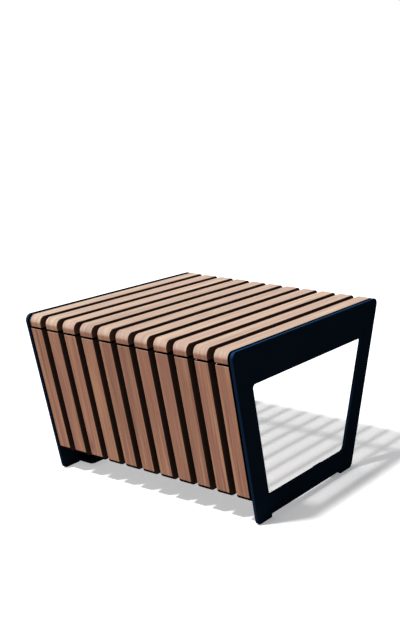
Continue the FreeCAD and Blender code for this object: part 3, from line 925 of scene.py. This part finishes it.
class STOOL_OT_weld_beads(bpy.types.Operator):
    """Lay rippled weld beads where rails and lugs meet the plates"""
    bl_idname = "stool.weld_beads"
    bl_label = "Weld beads"

    def lay(self, bm, start, end):
        """One bead from start to end, as rings that swell and shrink along it."""
        radius = steel().weld_radius
        run = end - start
        count = max(4, 2 * round(run.length / (radius * BEAD_RIPPLE)))
        matrix = Matrix.Translation(start) @ run.to_track_quat("Z", "Y").to_matrix().to_4x4()
        first = bmesh.ops.create_circle(bm, segments=BEAD_SIDES, radius=radius, matrix=matrix)["verts"]
        ring = first
        edges = list({edge for vert in ring for edge in vert.link_edges})
        for step in range(count):
            swell = BEAD_NECK if step % 2 == 0 else 1 / BEAD_NECK
            raised = bmesh.ops.extrude_edge_only(bm, edges=edges)["geom"]
            ring = only(bmesh.types.BMVert, raised)
            edges = [edge for edge in only(bmesh.types.BMEdge, raised)
                     if all(vert in ring for vert in edge.verts)]
            bmesh.ops.translate(bm, verts=ring, vec=run / count)
            centre = start + run * (step + 1) / count
            bmesh.ops.scale(bm, verts=ring, vec=(swell,) * 3, space=Matrix.Translation(-centre))
        for loop, centre in ((first, start), (ring, end)):
            bmesh.ops.contextual_create(bm, geom=loop)
            bmesh.ops.scale(bm, verts=loop, vec=(BEAD_END,) * 3, space=Matrix.Translation(-centre))

    def execute(self, context):
        material = coat_material("weld_coat", cut_edges=False)
        radius, thick = steel().weld_radius, steel().rail_thickness
        offset = radius * BEAD_OFFSET
        bm = bmesh.new()
        for rail in RAILS:
            low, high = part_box(rail)
            leg = rail_leg(rail)
            web = leg / 2 - thick
            under_flange = ((radius - leg / 2, -thick - offset), (web - BEAD_GAP, -thick - offset))
            inside_web = ((web - offset, -thick - BEAD_GAP), (web - offset, radius - leg))
            placed = rail_frame(rail)
            inner = min(abs(low.x), abs(high.x)) - offset
            for x in (-inner, inner):
                for start, end in (under_flange, inside_web):
                    self.lay(bm, placed @ Vector((x, *start)), placed @ Vector((x, *end)))
        for node, side in LUGS:
            low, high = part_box(node)
            root = (low.x if side < 0 else high.x) - side * offset
            on_top = high.z + offset
            self.lay(bm, Vector((root, low.y + radius, on_top)), Vector((root, high.y - radius, on_top)))
        finish_piece(bm, "weld_beads", material, "frame_paint")
        return {"FINISHED"}


class STOOL_OT_stage(bpy.types.Operator):
    """Set the floor, the light and the camera"""
    bl_idname = "stool.stage"
    bl_label = "Stage"

    def seen(self, tree):
        """One for rays whose result is looked at, and nothing for light that only bounces."""
        path = tree.nodes.new("ShaderNodeLightPath").outputs
        mirrored = either(tree, path["Is Glossy Ray"], path["Is Transmission Ray"])
        return either(tree, path["Is Camera Ray"], mirrored)

    def floor_white(self, tree, given):
        """The white that the floor adds: less behind, and less where the right plate shelters it."""
        across, depth, _ = parts(tree, tree.nodes.new("ShaderNodeTexCoord").outputs["Object"])
        towards_stool = add(tree, "ShaderNodeCombineXYZ", {"X": -0.9, "Z": 0.44}).outputs[0]
        shelter = add(
            tree, "ShaderNodeAmbientOcclusion", {"Normal": towards_stool, "Distance": 0.2}, samples=8)
        open_air = either(tree, shelter.outputs["AO"], fade(tree, across, -0.1, 0.2))
        from_plate = maths(tree, "SUBTRACT", across, (PLATE_LOW.x + PLATE_HIGH.x) / 2)
        close_by = spread(tree, unsigned(tree, from_plate), 0.006, 0.024, 0.38, 0.0)
        under_plate = both(tree, close_by, fade(tree, unsigned(tree, depth), 0.24, 0.28))
        open_air = both(tree, open_air, outside(tree, under_plate))
        sheltered_lift = given.floor_lift * given.floor_shelter
        lift = spread(tree, open_air, 0.2, 0.9, sheltered_lift, given.floor_lift, smooth=False)
        slope = spread(tree, depth, -0.25, 0.4, 1 + given.floor_tilt, 1 - given.floor_tilt)
        return maths(tree, "MULTIPLY", lift, slope)

    def floor(self, given):
        """A wide matt floor, which also glows a little where it is seen."""
        bm = bmesh.new()
        bmesh.ops.create_grid(bm, x_segments=1, y_segments=1, size=given.floor_size)
        mesh = bpy.data.meshes.new("studio_floor")
        bm.to_mesh(mesh)
        bm.free()
        material = bpy.data.materials.new("studio_floor")
        material.use_nodes = True
        tree = material.node_tree
        tree.nodes.remove(tree.nodes["Principled BSDF"])
        seen = self.seen(tree)
        tone = spread(tree, seen, 0.0, 1.0, given.floor_tone, given.floor_shown, smooth=False)
        matt = add(tree, "ShaderNodeBsdfDiffuse", {"Color": tone})
        strength = maths(tree, "MULTIPLY", seen, self.floor_white(tree, given))
        glow = add(tree, "ShaderNodeEmission", {"Color": opaque(given.floor_tint), "Strength": strength})
        summed = add(tree, "ShaderNodeAddShader", {0: matt.outputs[0], 1: glow.outputs[0]})
        tree.links.new(summed.outputs[0], tree.nodes["Material Output"].inputs["Surface"])
        mesh.materials.append(material)
        floor = bpy.data.objects.new("studio_floor", mesh)
        bpy.context.scene.collection.objects.link(floor)

    def sky(self, given):
        """Soft light, stronger from the front, that is plain white where it is seen."""
        world = bpy.data.worlds.new("studio_sky")
        world.use_nodes = True
        tree = world.node_tree
        depth = parts(tree, tree.nodes.new("ShaderNodeTexCoord").outputs["Generated"])[1]
        front, behind = given.sky * (1 + given.sky_lean), given.sky * (1 - given.sky_lean)
        soft = spread(tree, depth, -0.7, 0.7, front, behind)
        strength = spread(tree, self.seen(tree), 0.0, 1.0, soft, 1.0, smooth=False)
        back = tree.nodes["Background"]
        back.inputs["Color"].default_value = (1.0, 1.0, 1.0, 1.0)
        tree.links.new(strength, back.inputs["Strength"])
        bpy.context.scene.world = world

    def key(self, given):
        """The main lamp."""
        lamp = bpy.data.lights.new("key_lamp", "SUN")
        lamp.energy = given.key_strength
        lamp.angle = given.key_angle
        key = bpy.data.objects.new("key_lamp", lamp)
        key.rotation_euler = Vector(given.key_travel).to_track_quat("-Z", "Y").to_euler()
        key.location = (-1.0, -2.0, 3.0)
        bpy.context.scene.collection.objects.link(key)

    def camera(self, given):
        """The camera at the photograph's place."""
        lens = bpy.data.cameras.new("camera")
        lens.sensor_fit = "AUTO"
        lens.sensor_width = 36.0
        lens.lens = given.lens
        lens.clip_end = 200.0
        camera = bpy.data.objects.new("camera", lens)
        camera.location = given.eye
        camera.rotation_euler = Euler((math.pi / 2 - given.dip, 0.0, given.heading))
        bpy.context.scene.collection.objects.link(camera)
        bpy.context.scene.camera = camera

    def execute(self, context):
        for make in (self.floor, self.sky, self.key, self.camera):
            make(context.scene.stool_stage)
        context.scene.view_settings.view_transform = "Standard"
        return {"FINISHED"}


class STOOL_PT_sidebar(bpy.types.Panel):
    """Lists the stool's pieces and their settings"""
    bl_idname = "STOOL_PT_sidebar"
    bl_label = "Slatted stool"
    bl_space_type = "VIEW_3D"
    bl_region_type = "UI"
    bl_category = "Stool"

    def draw(self, context):
        column = self.layout.column()
        for operator in OPERATORS:
            column.operator(operator.bl_idname)
        for name in SETTINGS:
            column.separator()
            settings = getattr(context.scene, name)
            for key in settings.bl_rna.properties.keys():
                if key not in {"rna_type", "name"}:
                    column.prop(settings, key)


SETTINGS = {"stool_form": StoolForm, "stool_timber": StoolTimber, "stool_steel": StoolSteel,
            "stool_screws": StoolScrews, "stool_stage": StoolStage}
OPERATORS = (STOOL_OT_top_slats, STOOL_OT_front_slats, STOOL_OT_side_plates, STOOL_OT_angle_rails,
             STOOL_OT_anchor_lugs, STOOL_OT_coach_screws, STOOL_OT_weld_beads, STOOL_OT_stage)
CLASSES = (*SETTINGS.values(), *OPERATORS, STOOL_PT_sidebar)


def register():
    for item in CLASSES:
        bpy.utils.register_class(item)
    for name, item in SETTINGS.items():
        setattr(bpy.types.Scene, name, PointerProperty(type=item))


def unregister():
    for name in SETTINGS:
        delattr(bpy.types.Scene, name)
    for item in reversed(CLASSES):
        bpy.utils.unregister_class(item)


def main():
    register()
    bpy.ops.stool.top_slats()
    bpy.ops.stool.front_slats()
    bpy.ops.stool.side_plates()
    bpy.ops.stool.angle_rails()
    bpy.ops.stool.anchor_lugs()
    bpy.ops.stool.coach_screws()
    bpy.ops.stool.weld_beads()
    bpy.ops.stool.stage()


if __name__ == "__main__":
    main()
